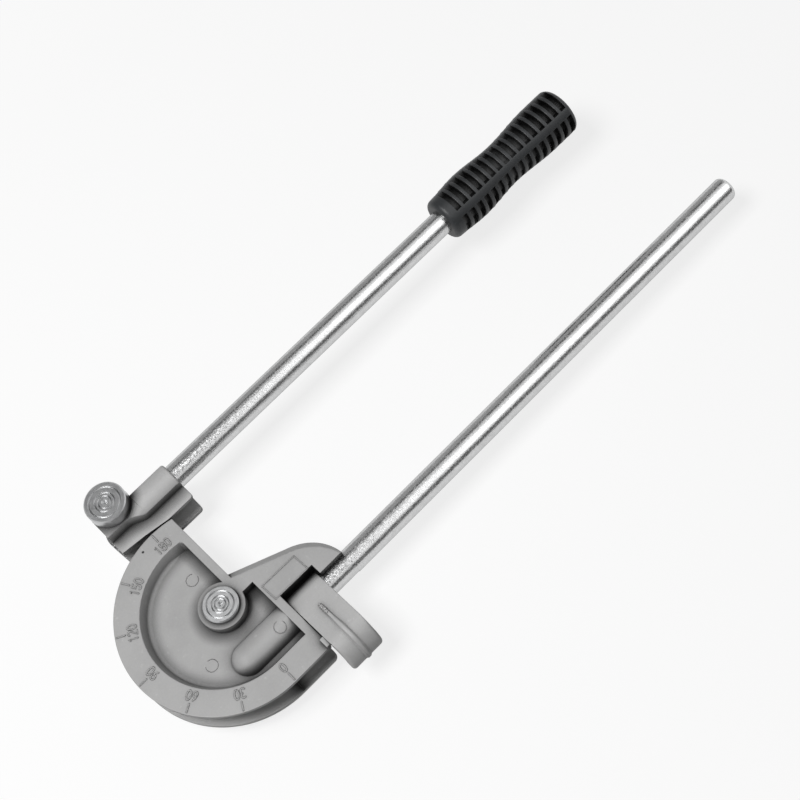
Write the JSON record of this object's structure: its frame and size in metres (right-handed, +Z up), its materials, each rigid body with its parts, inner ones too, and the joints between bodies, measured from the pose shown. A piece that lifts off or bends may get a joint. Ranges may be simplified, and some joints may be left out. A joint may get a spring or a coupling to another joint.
{
  "type": "tube bender",
  "caption": "Lever tube bender: cast half-round former with a degree scale, fixed handle rod and tube hook, and a swinging lever with forming shoe and ribbed grip on a rear link.",
  "frame": {"origin": "on the axis of the former's centre pin, at that pin's rear end face, which the tool lies on", "axes": "+X along both handle rods away from the former, +Y from the centre pin towards the lever, +Z up from the resting face to the scale"},
  "size_m": [0.4066, 0.1653, 0.0482],
  "materials": {
    "casting": "die cast, matt and slightly granular",
    "plated_rod": "bright zinc plate over drawn bar",
    "turned_steel": "turned, with fine rings",
    "link_steel": "zinc plated flat bar",
    "washer_steel": "zinc plated",
    "dark_steel": "oil blackened spring steel",
    "bronze": "sintered bronze",
    "grip_rubber": "matt moulded"
  },
  "bodies": {
    "former": {"former": "casting", "fixed_rod": "plated_rod", "fixed_rod_pin": "dark_steel", "pivot_bush": "bronze"},
    "hook": {"hook": "casting"},
    "link": {"link": "link_steel", "pivot_pin": "turned_steel", "pivot_thrust_washer": "washer_steel", "pivot_rear_washer": "washer_steel", "pivot_circlip": "dark_steel", "lever_pin": "turned_steel", "lever_thrust_washer": "washer_steel", "lever_rear_washer": "washer_steel", "lever_circlip": "dark_steel"},
    "lever": {"lever_block": "casting", "lever_bush": "bronze", "lever_rod": "plated_rod", "lever_rod_pin": "dark_steel", "grip": "grip_rubber"}
  },
  "joints": [
    {"name": "link_swing", "type": "hinge", "parent": "former", "child": "link", "pos_m": [0, 0, 0], "axis": [0, 0, 1], "range_deg": [0, 180]},
    {"name": "lever_open", "type": "hinge", "parent": "link", "child": "lever", "pos_m": [-0.0054, 0.0813, 0], "axis": [0, 0, 1], "range_deg": [0, 150]},
    {"name": "hook_open", "type": "hinge", "parent": "former", "child": "hook", "pos_m": [0, -0.0283, 0.0221], "axis": [-1, 0, 0], "range_deg": [0, 80]}
  ]
}
